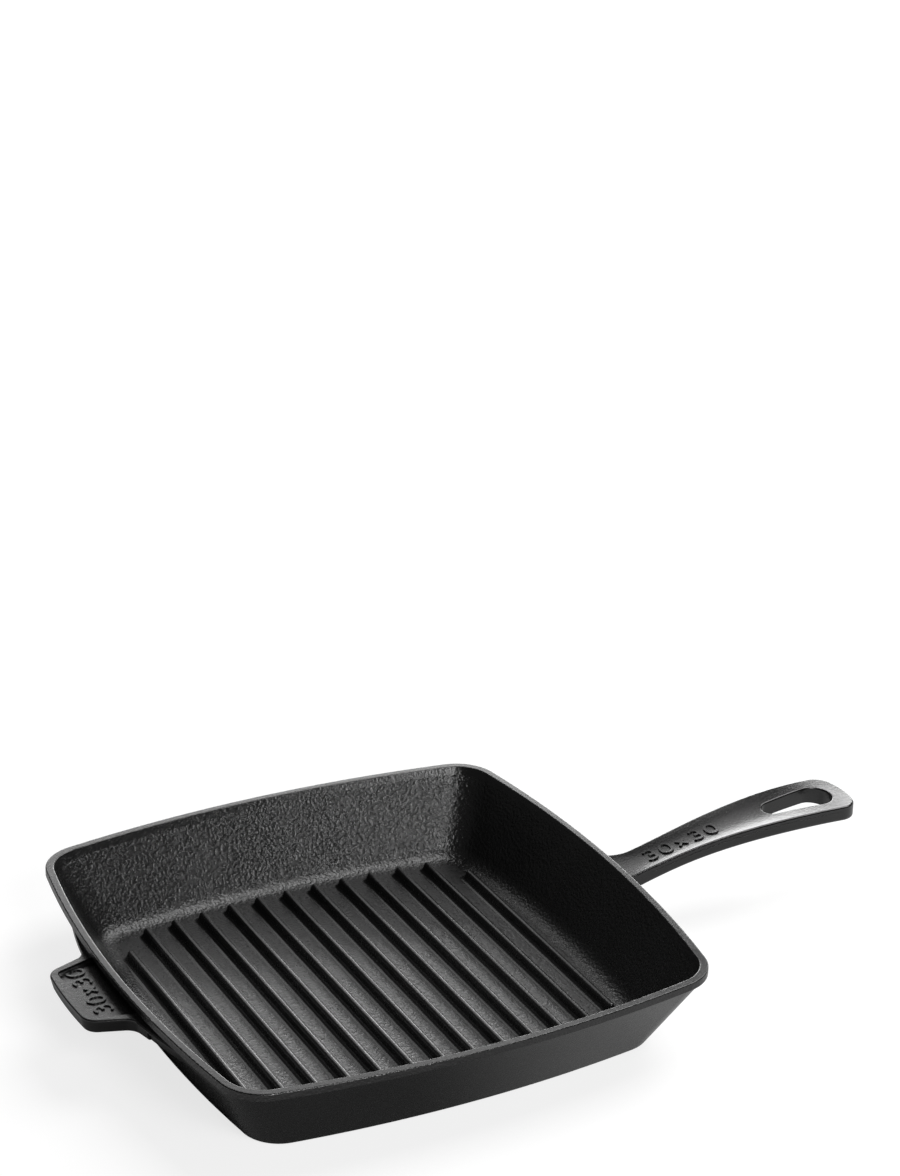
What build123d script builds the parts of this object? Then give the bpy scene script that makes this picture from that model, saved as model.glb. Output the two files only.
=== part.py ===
from build123d import *
import math
import os

# Square grill pan in cast iron: ribbed floor, drafted wall, flanged rim,
# one long handle and one short helper handle.
# X runs along the long handle, Y along the ribs, Z up.
# The origin is the middle of the flat underside.

# Pan body, all in millimetres
rim_width = 300.0
rim_corner_pull = 13.2
rim_corner_radius = 25.8
pan_height = 49.5
flange_height = 4.1
flange_overhang = 1.2
land_width = 3.9
foot_length = 248.8
foot_width = 244.4
foot_corner_pull = 9.2
foot_corner_radius = 22.0
floor_thickness = 4.0
wall_span = 4.8
floor_blend_radius = 12.0
floor_margin = 0.6

# Edge roundings of the body
foot_edge_radius = 3.0
rim_outer_radius = 0.8
rim_inner_radius = 0.6

# Ribs: the gaps run from the edge of the floor to the outer ribs and to the rib ends
rib_count = 13
rib_side_gap = 15.9
rib_end_gap = 12.1
rib_height = 5.5
rib_crest_half_width = 1.5
rib_foot_half_width = 3.1
rib_crest_radius = 1.8
rib_foot_radius = 2.3
rib_end_arc_radius = 740.0
outer_rib_shortening = 24.4
rib_end_slope = 1.4
rib_root_depth = 1.0
rib_root_margin = 0.2
rib_round_share = 0.98

# Long handle: reach is from the rim to the tip, rises are above the underside
handle_reach = 159.0
handle_rise = 56.3
handle_edge_thickness = 8.8
handle_root_extra = 0.8
handle_belly = 2.2
handle_dish = 2.0
handle_tip_half_width = 19.6
handle_neck_half_width = 12.0
handle_tip_bow = 5.6
handle_tip_corner_radius = 12.0
back_flare_radius = 19.0
front_flare_radius = 6.5
handle_flare_start = 2.5
handle_top_edge_radius = 1.2
handle_bottom_edge_radius = 2.2
handle_blank_margin = 14.0
handle_station_shares = (-0.12, 0.03, 0.16, 0.32, 0.48, 0.63, 0.78, 0.92, 1.04)
handle_rise_shares = (0.645, 0.680, 0.775, 0.870, 0.943, 0.984, 1.0, 0.990, 0.964)
handle_dish_shares = (0.0, 0.15, 0.9, 1.0, 0.95, 0.85, 0.5, 0.15, 0.05)
handle_belly_shares = (0.0, 0.3, 0.5, 0.5, 0.7, 0.9, 1.0, 1.0, 1.0)
handle_width_station_shares = (0.32, 0.48, 0.63, 0.78, 0.90)
handle_width_shares = (0.16, 0.43, 0.71, 0.93, 1.0)

# Hanging slot in the long handle
slot_near_share = 0.648
slot_far_share = 0.932
slot_near_radius = 6.8
slot_far_radius = 10.5
slot_edge_radius = 0.8

# Bosses where both handles grow out of the wall: the stand-off is from its outer face
boss_bury = 18.0
handle_bury = 15.0
handle_boss_stand_off = 9.2
handle_boss_bow = 12.0
handle_boss_half_run = 58.0
handle_boss_top = 38.4
handle_boss_thickness = 14.0
boss_edge_bevel = 0.9
helper_boss_stand_off = 7.0
helper_boss_bow = 11.4
helper_boss_half_run = 76.0

# Helper handle
helper_reach = 26.0
helper_top = 43.0
helper_thickness = 8.4
casting_draft = 14.0
helper_end_half_width = 27.7
helper_root_half_width = 35.5
helper_end_bow = 1.5
helper_corner_radius = 10.0
helper_root_radius = 7.0
helper_flare_run = 12.0
helper_top_edge_radius = 0.9
helper_bottom_edge_radius = 1.6
helper_border = 5.6
helper_recess_depth = 2.5
helper_recess_end_half_width = 24.8
helper_recess_root_half_width = 31.0
helper_recess_corner_radius = 4.0
helper_recess_floor_bevel = 1.0

# Raised size numerals
numerals = "30x30"
numeral_height = 9.4
numeral_width = 5.8
numeral_pitch = 9.9
numeral_stroke = 1.5
numeral_rise = 0.8
handle_numerals_share = 0.30
helper_numerals_inset = 15.6
helper_numerals_shift = 3.6

# Overrun for cuts, and the rim's half width
overrun = 5.0
half_rim = rim_width / 2
handle_tip_x = half_rim + handle_reach
flange_underside = pan_height - flange_height
os.makedirs("parts", exist_ok=True)


def save(part, name):
    """Labels one finished piece and writes it under the same name."""
    part.label = name
    export_step(part, f"parts/{name}.step")


def bowed_square(plane, half_length, half_width, corner_pull, corner_radius):
    """A square outline with four bowed sides and round corners."""
    corner_x = half_length - corner_pull
    corner_y = half_width - corner_pull
    with BuildSketch(plane) as outline:
        with BuildLine():
            ThreePointArc((corner_x, -corner_y), (half_length, 0), (corner_x, corner_y))
            ThreePointArc((corner_x, corner_y), (0, half_width), (-corner_x, corner_y))
            ThreePointArc((-corner_x, corner_y), (-half_length, 0), (-corner_x, -corner_y))
            ThreePointArc((-corner_x, -corner_y), (0, -half_width), (corner_x, -corner_y))
        make_face()
        fillet(outline.vertices(), corner_radius)
    return outline.sketch


# Outer faces of the wall slope evenly from the foot to the flange
wall_top_half = half_rim - flange_overhang
wall_lean_x = (wall_top_half - foot_length / 2) / flange_underside
wall_lean_y = (wall_top_half - foot_width / 2) / flange_underside
floor_half_length = foot_length / 2 + wall_lean_x * floor_thickness - wall_span
floor_half_width = foot_width / 2 + wall_lean_y * floor_thickness - wall_span
floor_corner_radius = foot_corner_radius - wall_span
blend_run = floor_blend_radius * math.tan((math.pi / 2 - math.atan(wall_lean_x)) / 2)
plate_inset = blend_run + floor_margin

# Solid outer body of the pan below the flange, used as a tool
with BuildPart() as wall_body:
    loft(
        sections=[
            bowed_square(Plane.XY, foot_length / 2, foot_width / 2, foot_corner_pull, foot_corner_radius),
            bowed_square(
                Plane.XY.offset(flange_underside),
                wall_top_half,
                wall_top_half,
                rim_corner_pull,
                rim_corner_radius - flange_overhang,
            ),
        ],
        ruled=True,
    )

# Space inside the pan, with the blend between floor and wall, used as a tool
with BuildPart() as cavity:
    loft(
        sections=[
            bowed_square(
                Plane.XY.offset(floor_thickness),
                floor_half_length,
                floor_half_width,
                foot_corner_pull,
                floor_corner_radius,
            ),
            bowed_square(
                Plane.XY.offset(pan_height),
                half_rim - land_width,
                half_rim - land_width,
                rim_corner_pull,
                rim_corner_radius - land_width,
            ),
        ],
        ruled=True,
    )
    fillet(cavity.faces().sort_by(Axis.Z)[0].edges(), floor_blend_radius)

# Outline of the floor plate: the flat part of the floor inside the blend
plate_outline = bowed_square(
    Plane.XY,
    floor_half_length - plate_inset,
    floor_half_width - plate_inset,
    foot_corner_pull,
    floor_corner_radius - blend_run,
)


outer_rib_x = floor_half_length - rib_side_gap
rib_reach = floor_half_width - rib_end_gap
rib_places = [outer_rib_x * (2 * number / (rib_count - 1) - 1) for number in range(rib_count)]


def rib_half_length(rib_x):
    """Inner ribs end along an arc that follows the wall, and the outer two are shorter."""
    if rib_x in (rib_places[0], rib_places[-1]):
        return rib_reach - outer_rib_shortening
    return rib_reach - rib_end_arc_radius + math.sqrt(rib_end_arc_radius**2 - rib_x**2)


def rib_root_outline(rib_x, height):
    """Outline of the root that a rib has in the floor."""
    root_half_width = rib_foot_half_width + rib_foot_radius + rib_root_margin
    root_half_length = rib_half_length(rib_x) + rib_end_slope + rib_foot_radius + rib_root_margin
    with BuildSketch(Plane.XY.offset(height)) as root:
        with Locations((rib_x, 0)):
            RectangleRounded(2 * root_half_width, 2 * root_half_length, root_half_width - rib_root_margin)
    return root.sketch


ribs = []
for number, rib_x in enumerate(rib_places, start=1):
    crest_reach = rib_half_length(rib_x)
    foot_reach = crest_reach + rib_end_slope
    foot_round = rib_foot_half_width * rib_round_share
    crest_round = rib_crest_half_width * rib_round_share
    with BuildPart() as rib:
        extrude(rib_root_outline(rib_x, floor_thickness), -rib_root_depth)
        with BuildSketch(Plane.XY.offset(floor_thickness)) as rib_foot:
            with Locations((rib_x, 0)):
                RectangleRounded(2 * rib_foot_half_width, 2 * foot_reach, foot_round)
        with BuildSketch(Plane.XY.offset(floor_thickness + rib_height)) as rib_crest:
            with Locations((rib_x, 0)):
                RectangleRounded(2 * rib_crest_half_width, 2 * crest_reach, crest_round)
        loft(ruled=True)
        fillet(rib.faces().sort_by(Axis.Z)[-1].edges(), rib_crest_radius)
        flat_faces = rib.faces().filter_by(GeomType.PLANE)
        root_top = flat_faces.filter_by(lambda face: len(face.inner_wires()) > 0)[0]
        fillet(root_top.inner_wires()[0].edges(), rib_foot_radius)
    save(rib.part, f"rib_{number:02d}")
    ribs.append(rib.part)

with BuildPart() as pan_floor:
    extrude(plate_outline, floor_thickness)
    for rib_x in rib_places:
        extrude(rib_root_outline(rib_x, floor_thickness), -rib_root_depth, mode=Mode.SUBTRACT)
save(pan_floor.part, "pan_floor")

with BuildPart() as side_wall:
    add(wall_body.part)
    fillet(side_wall.faces().sort_by(Axis.Z)[0].edges(), foot_edge_radius)
    add(cavity.part, mode=Mode.SUBTRACT)
    extrude(plate_outline, floor_thickness, mode=Mode.SUBTRACT)
    add(ribs, mode=Mode.SUBTRACT)
save(side_wall.part, "side_wall")

with BuildPart() as rim:
    extrude(
        bowed_square(
            Plane.XY.offset(flange_underside), half_rim, half_rim, rim_corner_pull, rim_corner_radius
        ),
        flange_height,
    )
    fillet(rim.faces().sort_by(Axis.Z)[-1].edges(), rim_outer_radius)
    add(cavity.part, mode=Mode.SUBTRACT)
    fillet(rim.faces().sort_by(Axis.Z)[-1].inner_wires()[0].edges(), rim_inner_radius)
save(rim.part, "rim")

# Long handle: a blank with the right top and underside, cut to the plan outline
blank_half_width = handle_tip_half_width + handle_blank_margin
width_gain = handle_tip_half_width - handle_neck_half_width


def handle_half_width(share):
    """Half the handle's width at a share of its reach, measured from the rim."""
    if share <= handle_width_station_shares[0]:
        return handle_neck_half_width + width_gain * handle_width_shares[0]
    stations = list(zip(handle_width_station_shares, handle_width_shares))
    for (near, near_width), (far, far_width) in zip(stations, stations[1:]):
        if share <= far:
            part_way = (share - near) / (far - near)
            return handle_neck_half_width + width_gain * (near_width + part_way * (far_width - near_width))
    return handle_tip_half_width


with BuildPart() as handle_blank:
    stations = zip(handle_station_shares, handle_rise_shares, handle_dish_shares, handle_belly_shares)
    for share, rise_share, dish_share, belly_share in stations:
        edge_spread = (blank_half_width / handle_half_width(share)) ** 2 - 1
        top = handle_rise * rise_share
        dish = handle_dish * dish_share
        belly = handle_belly * belly_share
        root_share = max(0.0, 1 - share / handle_width_station_shares[0])
        bottom = top - handle_edge_thickness - handle_root_extra * min(root_share, 1.0)
        high_side = top + dish * edge_spread
        low_side = bottom + belly * edge_spread
        station_x = half_rim + handle_reach * share
        section_plane = Plane(origin=(station_x, 0, 0), x_dir=(0, 1, 0), z_dir=(1, 0, 0))
        with BuildSketch(section_plane) as section:
            with BuildLine():
                if dish_share > 0:
                    for side_height, middle_height in ((high_side, top - dish), (low_side, bottom - belly)):
                        ThreePointArc(
                            (-blank_half_width, side_height),
                            (0, middle_height),
                            (blank_half_width, side_height),
                        )
                else:
                    Line((-blank_half_width, top), (blank_half_width, top))
                    Line((-blank_half_width, bottom), (blank_half_width, bottom))
                Line((blank_half_width, high_side), (blank_half_width, low_side))
                Line((-blank_half_width, high_side), (-blank_half_width, low_side))
            make_face()
    loft()


def wall_face_x(height):
    """Distance of the wall's outer face from the pan's middle, at a height above the underside."""
    return foot_length / 2 + wall_lean_x * height


def wall_boss(side, stand_off, bow, half_run, top, thickness):
    """A shallow pad parallel to the wall, seen from above as a slice of a large circle."""
    crown = side * (wall_face_x(top) + stand_off)
    end = side * (wall_face_x(top) + stand_off - bow)
    back = side * (wall_face_x(top) - boss_bury)
    with BuildSketch(Plane.XY.offset(top)) as outline:
        with BuildLine():
            ThreePointArc((end, -half_run), (crown, 0), (end, half_run))
            Polyline((end, half_run), (back, half_run), (back, -half_run), (end, -half_run))
        make_face()
    slope_length = thickness * math.hypot(1, wall_lean_x)
    with BuildPart() as boss:
        extrude(outline.sketch, -slope_length, dir=(side * wall_lean_x, 0, 1))
        top_edges = boss.faces().sort_by(Axis.Z)[-1].edges()
        chamfer(top_edges.filter_by(GeomType.CIRCLE), boss_edge_bevel)
        add(wall_body.part, mode=Mode.SUBTRACT)
    return boss.part


handle_boss = wall_boss(
    1, handle_boss_stand_off, handle_boss_bow, handle_boss_half_run, handle_boss_top, handle_boss_thickness
)
helper_boss = wall_boss(
    -1, helper_boss_stand_off, helper_boss_bow, helper_boss_half_run, helper_top, helper_thickness
)
helper_boss_tool = wall_boss(
    -1, helper_boss_stand_off, helper_boss_bow, helper_boss_half_run, helper_top, helper_thickness + overrun
)

# Plan outline of the long handle, from inside the wall to the bowed tip
flare_x = half_rim + handle_flare_start
side_points = [
    (half_rim + handle_reach * share, handle_neck_half_width + width_gain * width_share)
    for share, width_share in zip(handle_width_station_shares, handle_width_shares)
]
tip_corner_x = handle_tip_x - handle_tip_bow

with BuildSketch() as handle_outline:
    with BuildLine():
        for side, flare_radius in ((1, back_flare_radius), (-1, front_flare_radius)):
            neck = (flare_x + flare_radius, side * handle_neck_half_width)
            flare_end = (flare_x, side * (handle_neck_half_width + flare_radius))
            Polyline((half_rim - handle_bury, 0), (half_rim - handle_bury, flare_end[1]), flare_end)
            TangentArc(neck, flare_end, tangent=(-1, 0))
            Spline(
                [neck]
                + [(x, side * half_width) for x, half_width in side_points]
                + [(tip_corner_x, side * handle_tip_half_width)],
                tangents=[(1, 0), (1, 0)],
            )
        ThreePointArc(
            (tip_corner_x, handle_tip_half_width), (handle_tip_x, 0), (tip_corner_x, -handle_tip_half_width)
        )
    make_face()
    fillet(handle_outline.vertices().group_by(Axis.X)[-1], handle_tip_corner_radius)

slot_near_x = half_rim + handle_reach * slot_near_share + slot_near_radius
slot_far_x = half_rim + handle_reach * slot_far_share - slot_far_radius
with BuildSketch() as hanging_slot:
    with BuildLine():
        CenterArc((slot_near_x, 0), slot_near_radius, 0, 360)
        CenterArc((slot_far_x, 0), slot_far_radius, 0, 360)
    make_hull()

# Each numeral is drawn as open strokes, in shares of its width and height
three_stroke_shares = [
    [(0.06, 0.90), (0.50, 1.0), (0.92, 0.76)],
    [(0.92, 0.76), (0.80, 0.56), (0.40, 0.53)],
    [(0.40, 0.53), (0.86, 0.48), (1.0, 0.26)],
    [(1.0, 0.26), (0.52, 0.0), (0.0, 0.12)],
]
zero_stroke_shares = [
    [(0.0, 0.5), (0.12, 0.86), (0.5, 1.0)],
    [(0.5, 1.0), (0.88, 0.86), (1.0, 0.5)],
    [(1.0, 0.5), (0.88, 0.14), (0.5, 0.0)],
    [(0.5, 0.0), (0.12, 0.14), (0.0, 0.5)],
]
cross_stroke_shares = [[(0.05, 0.08), (0.95, 0.72)], [(0.05, 0.72), (0.95, 0.08)]]
glyph_strokes = {"3": three_stroke_shares, "0": zero_stroke_shares, "x": cross_stroke_shares}


def numeral_outline(plane):
    """The row of numerals, centred on the plane's origin and reading along its X."""
    with BuildSketch(plane) as row:
        for place, glyph in enumerate(numerals):
            left = (place - (len(numerals) - 1) / 2) * numeral_pitch - numeral_width / 2
            for stroke in glyph_strokes[glyph]:
                points = [
                    (left + x_share * numeral_width, (y_share - 1 / 2) * numeral_height)
                    for x_share, y_share in stroke
                ]
                with BuildLine():
                    if len(points) == 2:
                        Line(points)
                    else:
                        ThreePointArc(points)
                trace(line_width=numeral_stroke)
    return row.sketch


def shifted_blank(rise):
    """The handle's blank, moved up or down."""
    return handle_blank.part.moved(Location((0, 0, rise)))


handle_numerals_x = half_rim + handle_reach * handle_numerals_share
with BuildPart() as handle_numerals:
    extrude(numeral_outline(Plane.XY.shift_origin((handle_numerals_x, 0, 0))), handle_rise)
    add(shifted_blank(numeral_rise), mode=Mode.INTERSECT)

with BuildPart() as long_handle:
    extrude(handle_outline.sketch, handle_rise + overrun)
    add(handle_blank.part, mode=Mode.INTERSECT)
    broad_faces = long_handle.faces().sort_by(SortBy.AREA)[-2:].sort_by(Axis.Z)
    top_edges = broad_faces[1].edges().filter_by_position(Axis.X, half_rim, handle_tip_x)
    fillet(top_edges, handle_top_edge_radius)
    broad_faces = long_handle.faces().sort_by(SortBy.AREA)[-2:].sort_by(Axis.Z)
    bottom_edges = broad_faces[0].edges().filter_by_position(Axis.X, half_rim, handle_tip_x)
    fillet(bottom_edges, handle_bottom_edge_radius)
    extrude(hanging_slot.sketch, handle_rise + overrun, mode=Mode.SUBTRACT)
    broad_faces = long_handle.faces().sort_by(SortBy.AREA)[-2:]
    fillet([edge for face in broad_faces for edge in face.inner_wires()[0].edges()], slot_edge_radius)
    add(handle_numerals.part)
    add(wall_body.part, mode=Mode.SUBTRACT)
    add(handle_boss, mode=Mode.SUBTRACT)
save(handle_boss, "handle_boss")
save(long_handle.part, "long_handle")

# Helper handle: a drafted tab with a recess that runs into the wall
helper_end_x = half_rim + helper_reach
boss_crown_x = wall_face_x(helper_top) + helper_boss_stand_off
boss_circle_radius = (helper_boss_half_run**2 + helper_boss_bow**2) / (2 * helper_boss_bow)


def boss_face_x(y):
    """Distance of the helper boss's top edge from the pan's middle."""
    return boss_crown_x - boss_circle_radius + math.sqrt(boss_circle_radius**2 - y**2)


flare_end_y = helper_root_half_width + helper_flare_run
with BuildSketch(Plane.XY.offset(helper_top)) as helper_outline:
    with BuildLine():
        for side in (1, -1):
            Polyline(
                (-helper_end_x + helper_end_bow, side * helper_end_half_width),
                (-boss_face_x(helper_root_half_width), side * helper_root_half_width),
                (-boss_face_x(flare_end_y) + boss_edge_bevel, side * flare_end_y),
                (-half_rim + handle_bury, side * flare_end_y),
                (-half_rim + handle_bury, 0),
            )
        ThreePointArc(
            (-helper_end_x + helper_end_bow, -helper_end_half_width),
            (-helper_end_x, 0),
            (-helper_end_x + helper_end_bow, helper_end_half_width),
        )
    make_face()
    fillet(helper_outline.vertices().group_by(Axis.X)[0], helper_corner_radius)
    fillet(helper_outline.vertices().group_by(Axis.X)[2], helper_root_radius)

with BuildSketch(Plane.XY.offset(helper_top)) as recess_outline:
    with BuildLine():
        for side in (1, -1):
            Polyline(
                (-helper_end_x + helper_border, 0),
                (-helper_end_x + helper_border, side * helper_recess_end_half_width),
                (-half_rim, side * helper_recess_root_half_width),
                (-half_rim + handle_bury, side * helper_recess_root_half_width),
                (-half_rim + handle_bury, 0),
            )
    make_face()
    end_corners = recess_outline.vertices().filter_by_position(Axis.X, -helper_end_x, -half_rim)
    outer_corners = end_corners.filter_by(lambda corner: abs(corner.Y) > helper_recess_corner_radius)
    fillet(outer_corners, helper_recess_corner_radius)
with BuildPart() as helper_recess:
    extrude(recess_outline.sketch, -helper_recess_depth)
    chamfer(helper_recess.faces().sort_by(Axis.Z)[0].edges(), helper_recess_floor_bevel)

helper_numerals_plane = Plane(
    origin=(-helper_end_x + helper_numerals_inset, helper_numerals_shift, helper_top - helper_recess_depth),
    x_dir=(0, 1, 0),
    z_dir=(0, 0, 1),
)
with BuildPart() as helper_boss_cut:
    add(helper_boss)
    add(helper_recess.part, mode=Mode.SUBTRACT)
save(helper_boss_cut.part, "helper_boss")

with BuildPart() as helper_handle:
    extrude(helper_outline.sketch, -helper_thickness, taper=casting_draft)
    bottom_edges = helper_handle.faces().sort_by(Axis.Z)[0].edges()
    fillet(bottom_edges.filter_by_position(Axis.X, -helper_end_x, -half_rim), helper_bottom_edge_radius)
    top_edges = helper_handle.faces().sort_by(Axis.Z)[-1].edges()
    fillet(top_edges.filter_by_position(Axis.X, -helper_end_x, -half_rim), helper_top_edge_radius)
    add(helper_recess.part, mode=Mode.SUBTRACT)
    extrude(numeral_outline(helper_numerals_plane), numeral_rise)
    add(wall_body.part, mode=Mode.SUBTRACT)
    add(helper_boss_tool, mode=Mode.SUBTRACT)
save(helper_handle.part, "helper_handle")
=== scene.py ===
# %% [markdown]
# # A cast iron grill pan
# The pan is one iron casting under a coat of black enamel. Its shape is already exact
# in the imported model, so this file is mostly about finish: how a coat that is nearly
# black still shows its form. Only what the coat reflects can do that, so the grain of
# the surface and the place of the lamps matter more than any colour.

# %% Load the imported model
import math

import bmesh
import bpy
from mathutils import Matrix, Vector
from mathutils.bvhtree import BVHTree


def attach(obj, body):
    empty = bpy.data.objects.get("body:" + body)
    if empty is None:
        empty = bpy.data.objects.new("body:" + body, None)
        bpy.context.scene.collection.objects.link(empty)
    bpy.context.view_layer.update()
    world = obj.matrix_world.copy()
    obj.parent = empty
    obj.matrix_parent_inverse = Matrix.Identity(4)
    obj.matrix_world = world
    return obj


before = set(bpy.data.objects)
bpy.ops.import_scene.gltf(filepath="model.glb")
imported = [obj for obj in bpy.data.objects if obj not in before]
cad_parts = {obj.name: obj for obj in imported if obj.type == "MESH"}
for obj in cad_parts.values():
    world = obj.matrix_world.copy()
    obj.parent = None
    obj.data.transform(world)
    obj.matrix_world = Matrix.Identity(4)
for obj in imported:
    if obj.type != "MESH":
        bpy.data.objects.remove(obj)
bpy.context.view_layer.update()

MM = 0.001
print("pieces in the model:", len(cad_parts))

# %% [markdown]
# ## Camera
# The photograph was taken with a long lens from the pan's front left corner, a little
# above it. The camera could be aimed by hand at the middle of the pan, but the pan sits
# low in a tall frame, and lens, distance and aim then have to agree to a pixel. So the
# place, the aim and the slight roll come from a fit to the pan's edges, and are written
# here as angles round the pan.

# %% Place the camera
view_azimuth = math.radians(-28.0)
view_elevation = math.radians(23.69)
view_roll = math.radians(1.10)
view_distance = 2213.14 * MM
view_target = Vector((295.12, 468.39, 0.0)) * MM
lens_in_pixels = 3118.48
frame_height_in_pixels = 1176
farthest_seen = 20.0

back = Vector((
    math.sin(view_azimuth) * math.cos(view_elevation),
    -math.cos(view_azimuth) * math.cos(view_elevation),
    math.sin(view_elevation),
))
level_right = Vector((math.cos(view_azimuth), math.sin(view_azimuth), 0.0))
level_up = back.cross(level_right)
right = level_right * math.cos(view_roll) + level_up * math.sin(view_roll)
up = level_up * math.cos(view_roll) - level_right * math.sin(view_roll)

camera_data = bpy.data.cameras.new("camera")
camera_data.sensor_width = 36.0
camera_data.lens = lens_in_pixels * camera_data.sensor_width / frame_height_in_pixels
camera_data.clip_end = farthest_seen
camera = bpy.data.objects.new("camera", camera_data)
bpy.context.scene.collection.objects.link(camera)
camera.matrix_world = Matrix.Translation(view_target + back * view_distance) @ Matrix(
    (right, up, back)
).transposed().to_4x4()
bpy.context.scene.camera = camera
bpy.context.scene.view_settings.view_transform = "Standard"
print("camera at", [round(v, 3) for v in camera.location], "lens", round(camera_data.lens, 2))

# %% [markdown]
# ## Small helpers for materials
# Every finish here is a node tree. Writing each link out by hand is long, and hides what
# the tree does. One helper adds a node and fills its inputs, where a value is set on the
# socket and another node's output is linked to it, so a finish reads as a short recipe.

# %% Node helper


def add_node(tree, kind, inputs=None, **settings):
    """Add one node, set its properties, then fill or link its inputs by name or number."""
    node = tree.nodes.new(kind)
    for name, value in settings.items():
        setattr(node, name, value)
    for key, value in (inputs or {}).items():
        if isinstance(value, bpy.types.NodeSocket):
            tree.links.new(value, node.inputs[key])
        else:
            node.inputs[key].default_value = value
    return node


def new_group(name, inputs, outputs):
    """Make a shader node group with named float inputs and typed outputs."""
    group = bpy.data.node_groups.new(name, "ShaderNodeTree")
    for label, default in inputs.items():
        socket = group.interface.new_socket(label, in_out="INPUT", socket_type="NodeSocketFloat")
        socket.default_value = default
    for label, kind in outputs.items():
        group.interface.new_socket(label, in_out="OUTPUT", socket_type=kind)
    return group


print("helpers ready")

# %% [markdown]
# ## The grain of the enamel
# Matt black enamel is sprayed on and fired. It dries to a fine pebbled skin, and each
# pebble catches the lamps by itself, which is the sparkle seen on the pan's wall. A
# flat colour with high roughness would give an even grey instead. The grain could be
# modelled, but there are millions of pebbles, so a shared node group gives their height
# as two sizes of noise, and also gives slow changes in tone and roughness.

# %% Grain group
swells_per_metre = 160.0
drifts_per_metre = 22.0
swell_share = 0.35
drift_share = 0.5
noise_low = 0.3
noise_high = 0.7

grain_group = new_group(
    "enamel grain",
    {"Pebbles per metre": 900.0, "Roughness low": 0.3, "Roughness high": 0.5},
    {"Height": "NodeSocketFloat", "Roughness": "NodeSocketFloat", "Tone": "NodeSocketFloat"},
)
entry = add_node(grain_group, "NodeGroupInput")
exit_node = add_node(grain_group, "NodeGroupOutput")
place = add_node(grain_group, "ShaderNodeTexCoord").outputs["Object"]

pebbles = add_node(grain_group, "ShaderNodeTexNoise", {
    "Vector": place, "Scale": entry.outputs["Pebbles per metre"], "Detail": 2.0, "Roughness": 0.6,
})
swell = add_node(grain_group, "ShaderNodeTexNoise", {
    "Vector": place, "Scale": swells_per_metre, "Detail": 3.0,
})
drift = add_node(grain_group, "ShaderNodeTexNoise", {
    "Vector": place, "Scale": drifts_per_metre, "Detail": 4.0,
})
height = add_node(grain_group, "ShaderNodeMath", {
    0: swell.outputs["Fac"], 1: swell_share, 2: pebbles.outputs["Fac"],
}, operation="MULTIPLY_ADD")
mixed = add_node(grain_group, "ShaderNodeMath", {
    0: drift.outputs["Fac"], 1: drift_share, 2: pebbles.outputs["Fac"],
}, operation="MULTIPLY_ADD")
roughness = add_node(grain_group, "ShaderNodeMapRange", {
    "Value": mixed.outputs[0],
    "From Min": noise_low * (1 + drift_share), "From Max": noise_high * (1 + drift_share),
    "To Min": entry.outputs["Roughness low"], "To Max": entry.outputs["Roughness high"],
})
grain_group.links.new(height.outputs[0], exit_node.inputs["Height"])
grain_group.links.new(roughness.outputs[0], exit_node.inputs["Roughness"])
grain_group.links.new(drift.outputs["Fac"], exit_node.inputs["Tone"])
print("grain group nodes:", len(grain_group.nodes))

# %% [markdown]
# ## Which way a face looks
# The coat is coarse inside the pan and smooth on its outer face, but wall and rim are one
# node each. The mask compares a face's normal with the direction away from the pan's
# middle: 0 faces the middle, 0.5 is level, 1 faces away. A painted mask would do the same
# but would have to be redone after each change of shape.

# %% Facing group
facing_group = new_group("enamel facing", {}, {"Facing": "NodeSocketFloat"})
facing_exit = add_node(facing_group, "NodeGroupOutput")
surface_place = add_node(facing_group, "ShaderNodeTexCoord")
level_place = add_node(facing_group, "ShaderNodeVectorMath", {
    0: surface_place.outputs["Object"], 1: (1.0, 1.0, 0.0),
}, operation="MULTIPLY")
outward = add_node(facing_group, "ShaderNodeVectorMath", {
    0: level_place.outputs[0],
}, operation="NORMALIZE")
agreement = add_node(facing_group, "ShaderNodeVectorMath", {
    0: outward.outputs[0], 1: surface_place.outputs["Normal"],
}, operation="DOT_PRODUCT")
facing = add_node(facing_group, "ShaderNodeMath", {
    0: agreement.outputs["Value"], 1: 0.5, 2: 0.5,
}, operation="MULTIPLY_ADD")
facing_group.links.new(facing.outputs[0], facing_exit.inputs["Facing"])
print("facing group nodes:", len(facing_group.nodes))

# %% [markdown]
# ## Enamel finishes
# The same coat looks different round the pan: pebbled inside, smoother on the lands and
# ribs where the spray pools and flows, and satin on the handle that hands polish. One
# function makes them all from the shared grain, each with its own depth and roughness. The
# three strengths say how much of the depth shows on faces that look inwards, up and
# outwards. Painted maps would do the same, but wouldn't follow a change of shape.

# %% Enamel maker
darkest_tone = 0.003
lightest_tone = 0.007
glass_index = 1.58
inward_level_outward = (0.4, 0.5, 0.6)


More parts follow.
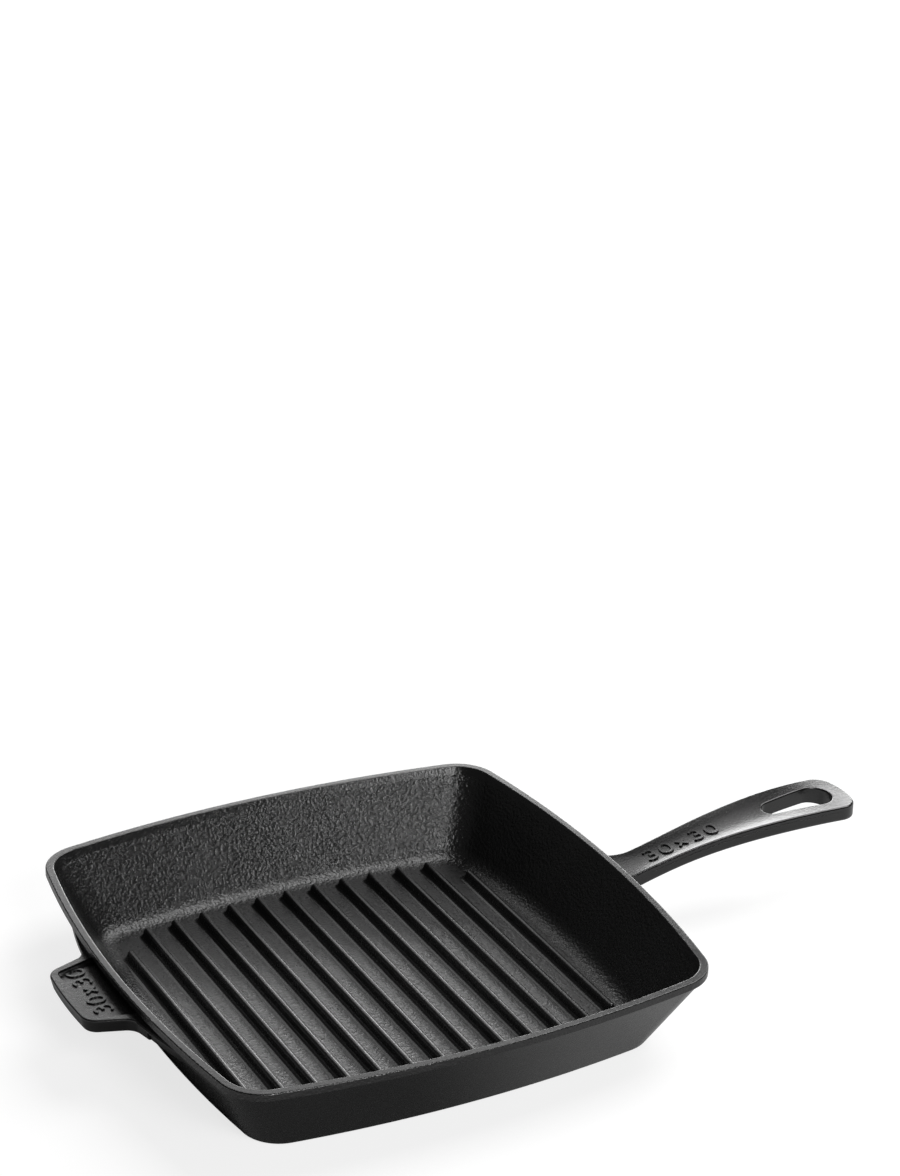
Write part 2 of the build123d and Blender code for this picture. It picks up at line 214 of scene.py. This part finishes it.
def enamel(name, roughness, pebbles_per_metre, depth_mm, strengths):
    """A black enamel whose tone, roughness and pebbles all come from the shared grain."""
    material = bpy.data.materials.new(name)
    material.use_nodes = True
    tree = material.node_tree
    tree.nodes.clear()
    grain = add_node(tree, "ShaderNodeGroup", node_tree=grain_group)
    grain.inputs["Pebbles per metre"].default_value = pebbles_per_metre
    grain.inputs["Roughness low"].default_value = roughness[0]
    grain.inputs["Roughness high"].default_value = roughness[1]
    tone = add_node(tree, "ShaderNodeMapRange", {
        "Value": grain.outputs["Tone"], "From Min": noise_low, "From Max": noise_high,
        "To Min": darkest_tone, "To Max": lightest_tone,
    })
    colour = add_node(tree, "ShaderNodeCombineColor", {
        "Red": tone.outputs[0], "Green": tone.outputs[0], "Blue": tone.outputs[0],
    })
    mask = add_node(tree, "ShaderNodeGroup", node_tree=facing_group)
    ramp = add_node(tree, "ShaderNodeValToRGB", {"Fac": mask.outputs["Facing"]})
    ramp.color_ramp.elements.new(inward_level_outward[1])
    for stop, stop_facing, strength in zip(ramp.color_ramp.elements, inward_level_outward, strengths):
        stop.position = stop_facing
        stop.color = (strength, strength, strength, 1.0)
    bump = add_node(tree, "ShaderNodeBump", {
        "Height": grain.outputs["Height"], "Strength": ramp.outputs["Color"],
        "Distance": depth_mm * MM,
    })
    surface = add_node(tree, "ShaderNodeBsdfPrincipled", {
        "Base Color": colour.outputs[0], "Roughness": grain.outputs["Roughness"],
        "Normal": bump.outputs[0], "IOR": glass_index,
    })
    output = add_node(tree, "ShaderNodeOutputMaterial")
    tree.links.new(surface.outputs[0], output.inputs["Surface"])
    return material


print("enamel maker ready")

# %% Finish every piece
coarse_pebbles = 570.0
fine_pebbles = 680.0
all_round = (1.0, 1.0, 1.0)
smooth_outside = (1.0, 0.8, 0.03)
smooth_land = (0.8, 0.10, 1.0)
wall_enamel = enamel("wall_enamel", (0.20, 0.34), coarse_pebbles, depth_mm=0.68, strengths=smooth_outside)
floor_enamel = enamel("floor_enamel", (0.24, 0.38), coarse_pebbles, depth_mm=0.42, strengths=all_round)
rib_enamel = enamel("rib_enamel", (0.20, 0.30), fine_pebbles, depth_mm=0.10, strengths=all_round)
rim_enamel = enamel("rim_enamel", (0.18, 0.28), fine_pebbles, depth_mm=0.40, strengths=smooth_land)
handle_enamel = enamel("handle_enamel", (0.18, 0.28), fine_pebbles, depth_mm=0.08, strengths=all_round)

finish_of = {"pan_floor": floor_enamel, "side_wall": wall_enamel, "rim": rim_enamel}
for name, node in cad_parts.items():
    finish = finish_of.get(name, rib_enamel if name.startswith("rib_") else handle_enamel)
    for slot in node.material_slots:
        slot.material = finish
print("finished pieces:", len(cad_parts))

# %% [markdown]
# ## The parting line
# The two halves of the casting mould meet along the sides of the long handle and leave a
# fine raised line just below its top edge, which catches the light. Its path could be
# worked out from the handle's plan, but asking the surface itself is shorter and always
# fits: a ray sent in from the side meets the handle where the line runs. A thin tube,
# half sunk into the side, follows those points and thins out towards both ends. It is made
# of small circles, one at each point, that are bridged to each other.

# %% Trace the path of the line
line_depth = 2.8 * MM
line_radius = 0.36 * MM
line_start_x = 172 * MM
line_end_x = 298 * MM
beside_slot_y = 11.8 * MM
inside_edge = 1.6 * MM
ray_start = 100 * MM
handle_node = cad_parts["long_handle"]
handle_mesh = handle_node.data
handle_surface = BVHTree.FromPolygons(
    [handle_node.matrix_world @ vertex.co for vertex in handle_mesh.vertices],
    [polygon.vertices for polygon in handle_mesh.polygons],
)


def height_at(x, y):
    """Height of the handle's top at one place."""
    return handle_surface.ray_cast(Vector((x, y, ray_start)), Vector((0, 0, -1)))[0].z


def side_point(side, x, z):
    """Where a level ray from one side meets the handle."""
    return handle_surface.ray_cast(Vector((x, side * ray_start, z)), Vector((0, -side, 0)))[0]


def line_path(side, steps=43):
    """Points on the handle's side, a fixed depth below its top edge."""
    path = []
    for step in range(steps):
        x = line_start_x + (line_end_x - line_start_x) * step / (steps - 1)
        rough_top = height_at(x, side * beside_slot_y)
        edge_y = side_point(side, x, rough_top - line_depth).y
        edge_top = height_at(x, edge_y - side * inside_edge)
        path.append(side_point(side, x, edge_top - line_depth))
    return path


paths = {"front": line_path(-1), "back": line_path(1)}
print("path points:", {name: len(path) for name, path in paths.items()})

# %% Build the tube
thinnest_share = 0.08


def tube(name, path, radius, sides=8, fade=9):
    """A closed tube along a path, thinned over so many points at each end."""
    mesh = bpy.data.meshes.new(name)
    shape = bmesh.new()
    loops = []
    for place, centre in enumerate(path):
        near_end = min(place, len(path) - 1 - place)
        thickness = radius * (thinnest_share + (1 - thinnest_share) * min(1.0, near_end / fade))
        ahead = path[min(place + 1, len(path) - 1)] - path[max(place - 1, 0)]
        stand = Matrix.Translation(centre) @ ahead.to_track_quat("Z", "Y").to_matrix().to_4x4()
        ring = bmesh.ops.create_circle(shape, segments=sides, radius=thickness, matrix=stand)["verts"]
        loops.append(list(dict.fromkeys(edge for vertex in ring for edge in vertex.link_edges)))
    for loop, following in zip(loops, loops[1:]):
        bmesh.ops.bridge_loops(shape, edges=loop + following)
    bmesh.ops.holes_fill(shape, edges=loops[0] + loops[-1], sides=sides)
    bmesh.ops.recalc_face_normals(shape, faces=shape.faces)
    for face in shape.faces:
        face.smooth = len(face.verts) == 4
    shape.to_mesh(mesh)
    shape.free()
    piece = bpy.data.objects.new(name, mesh)
    bpy.context.scene.collection.objects.link(piece)
    return piece


for name, path in paths.items():
    line = tube(f"parting_line_{name}", path, line_radius)
    line.data.materials.append(handle_enamel)
    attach(line, "root")
    print(line.name, "faces:", len(line.data.polygons))

# %% [markdown]
# ## Floor and light
# The photograph is a cut-out on white. A floor made white by strong lamps would wash out
# the black coat, so the floor is plain pale paper, lit no more than the pan is, and what
# it lacks to white is added only for the rays that look at it. The help is weaker near
# the pan, so its shadow stays on the paper, and grows to full farther out, where little
# light arrives. A black face mirrors the floor beside it, and there the help is cut: where
# a mirrored ray meets the floor within 5 cm of the face, it gets none on the pan's left.
# On the pan's right, a painted patch of light gives it less than half of the help. That
# patch is painted light, not lamp light: the front wall shows it as a painted reflection,
# which keeps the wall darkest at the left, as it is in the photograph.

# %% Pale floor
floor_half_width = 30.0
floor_drop = 0.2 * MM
floor_mesh = bpy.data.meshes.new("stage_floor")
sheet = bmesh.new()
bmesh.ops.create_grid(sheet, x_segments=1, y_segments=1, size=floor_half_width)
sheet.to_mesh(floor_mesh)
sheet.free()
stage_floor = bpy.data.objects.new("stage_floor", floor_mesh)
bpy.context.scene.collection.objects.link(stage_floor)
stage_floor.location.z = -floor_drop
print("floor at", round(stage_floor.location.z / MM, 2), "mm")
print("floor reaches", max(vertex.co.x for vertex in floor_mesh.vertices), "m from the middle")

# %% Rays that look


def looking_rays(tree):
    """One for rays that look at a thing straight, in a mirror or through glass, else zero."""
    ray = add_node(tree, "ShaderNodeLightPath")
    mirrored = add_node(tree, "ShaderNodeMath", {
        0: ray.outputs["Is Glossy Ray"], 1: ray.outputs["Is Transmission Ray"],
    }, operation="ADD")
    looking = add_node(tree, "ShaderNodeMath", {
        0: ray.outputs["Is Camera Ray"], 1: mirrored.outputs[0],
    }, operation="ADD", use_clamp=True)
    return ray, looking.outputs[0]


print("looking rays ready")

# %% Floor paper
white = (1.0, 1.0, 1.0, 1.0)
floor_tone = 0.30
short_ray = 50 * MM
long_ray = 250 * MM
# Where the painted patch of light lies on the floor, and how strong it is.
painted_light_from = -40 * MM
painted_light_to = 100 * MM
painted_light_strength = 0.42
help_grows_from = 500 * MM
help_grows_to = 1800 * MM
least_help = 0.76

floor_paper = bpy.data.materials.new("floor_paper")
floor_paper.use_nodes = True
paper_tree = floor_paper.node_tree
paper_tree.nodes.clear()
ray, looking = looking_rays(paper_tree)
paper_place = add_node(paper_tree, "ShaderNodeTexCoord").outputs["Object"]
paper_x = add_node(paper_tree, "ShaderNodeSeparateXYZ", {"Vector": paper_place}).outputs["X"]
far = add_node(paper_tree, "ShaderNodeMapRange", {
    "Value": ray.outputs["Ray Length"], "From Min": short_ray, "From Max": long_ray,
})
# Painted light: a patch on the floor's right, seen only as a painted reflection in the black faces near
# it.
painted_light_right = add_node(paper_tree, "ShaderNodeMapRange", {
    "Value": paper_x, "From Min": painted_light_from, "From Max": painted_light_to,
    "To Min": 0.0, "To Max": painted_light_strength,
}, interpolation_type="SMOOTHSTEP")
# The far floor's help or the painted patch of light, whichever is more.
far_or_painted_light = add_node(paper_tree, "ShaderNodeMath", {
    0: far.outputs[0], 1: painted_light_right.outputs[0],
}, operation="MAXIMUM")
from_middle = add_node(paper_tree, "ShaderNodeVectorMath", {0: paper_place}, operation="LENGTH")
lift_amount = add_node(paper_tree, "ShaderNodeMapRange", {
    "Value": from_middle.outputs["Value"], "From Min": help_grows_from, "From Max": help_grows_to,
    "To Min": least_help, "To Max": 1.0,
})
lifted = add_node(paper_tree, "ShaderNodeMath", {
    0: far_or_painted_light.outputs[0], 1: lift_amount.outputs[0],
}, operation="MULTIPLY")
seen = add_node(paper_tree, "ShaderNodeMath", {0: looking, 1: lifted.outputs[0]}, operation="MULTIPLY")
paper = add_node(paper_tree, "ShaderNodeBsdfDiffuse", {
    "Color": (floor_tone, floor_tone, floor_tone, 1.0),
})
lift = add_node(paper_tree, "ShaderNodeEmission", {"Color": white, "Strength": seen.outputs[0]})
both = add_node(paper_tree, "ShaderNodeAddShader", {0: paper.outputs[0], 1: lift.outputs[0]})
paper_output = add_node(paper_tree, "ShaderNodeOutputMaterial")
paper_tree.links.new(both.outputs[0], paper_output.inputs["Surface"])
floor_mesh.materials.append(floor_paper)
print("floor paper nodes:", len(paper_tree.nodes))

# %% [markdown]
# ## The room
# Whatever the room gives off shows in every black face, so it is dim, the same from all
# sides and for all rays. A white room would be simpler for the backdrop, but the floor
# already fills the picture behind the pan, and the ribs' dark flanks would turn grey.

# %% World
room_brightness = 0.08
world = bpy.data.worlds.new("studio")
bpy.context.scene.world = world
world.use_nodes = True
world_tree = world.node_tree
world_tree.nodes.clear()
ambient = add_node(world_tree, "ShaderNodeBackground", {"Color": white, "Strength": room_brightness})
world_output = add_node(world_tree, "ShaderNodeOutputWorld")
world_tree.links.new(ambient.outputs[0], world_output.inputs["Surface"])
print("room brightness:", room_brightness)

# %% [markdown]
# ## Soft boxes
# A mirror shows where its lamp has to stand. The level faces of the pan turn the camera's
# line of sight towards a low place behind it on the right, so a long soft box there makes
# the sheen of the floor, the rim and the handle, and leaves the left flank of each rib
# black. A weaker box above it carries the sheen on into the roundings. The back wall
# mirrors a place in front of the pan, where a small bright box brings out its pebbles.
# The large box high on the right is mirrored by the blend above the floor and throws the
# soft shadow. A box could be placed by three lengths, but angles round the pan say at once
# which faces will mirror it.

# %% Place the boxes


def soft_box(name, azimuth, elevation, distance, width, height, brightness):
    """A rectangular lamp seen from the pan at these angles, as bright as so many white papers."""
    lamp = bpy.data.lights.new(name, "AREA")
    lamp.shape = "RECTANGLE"
    lamp.size = width
    lamp.size_y = height
    lamp.energy = brightness * math.pi * width * height
    box = bpy.data.objects.new(name, lamp)
    bpy.context.scene.collection.objects.link(box)
    turn, rise = math.radians(azimuth), math.radians(elevation)
    aim = Vector((math.cos(turn) * math.cos(rise), math.sin(turn) * math.cos(rise), math.sin(rise)))
    box.location = aim * distance
    box.rotation_euler = aim.to_track_quat("Z", "Y").to_euler()
    return box


soft_box("sheen_box", azimuth=60, elevation=12, distance=4.5, width=3.2, height=1.86, brightness=6.0)
soft_box("upper_box", azimuth=76, elevation=36, distance=2.4, width=1.6, height=0.9, brightness=1.1)
soft_box("front_box", azimuth=-92, elevation=34, distance=1.8, width=0.6, height=0.6, brightness=13.0)
soft_box("key_box", azimuth=12, elevation=56, distance=1.8, width=1.1, height=1.4, brightness=5.0)
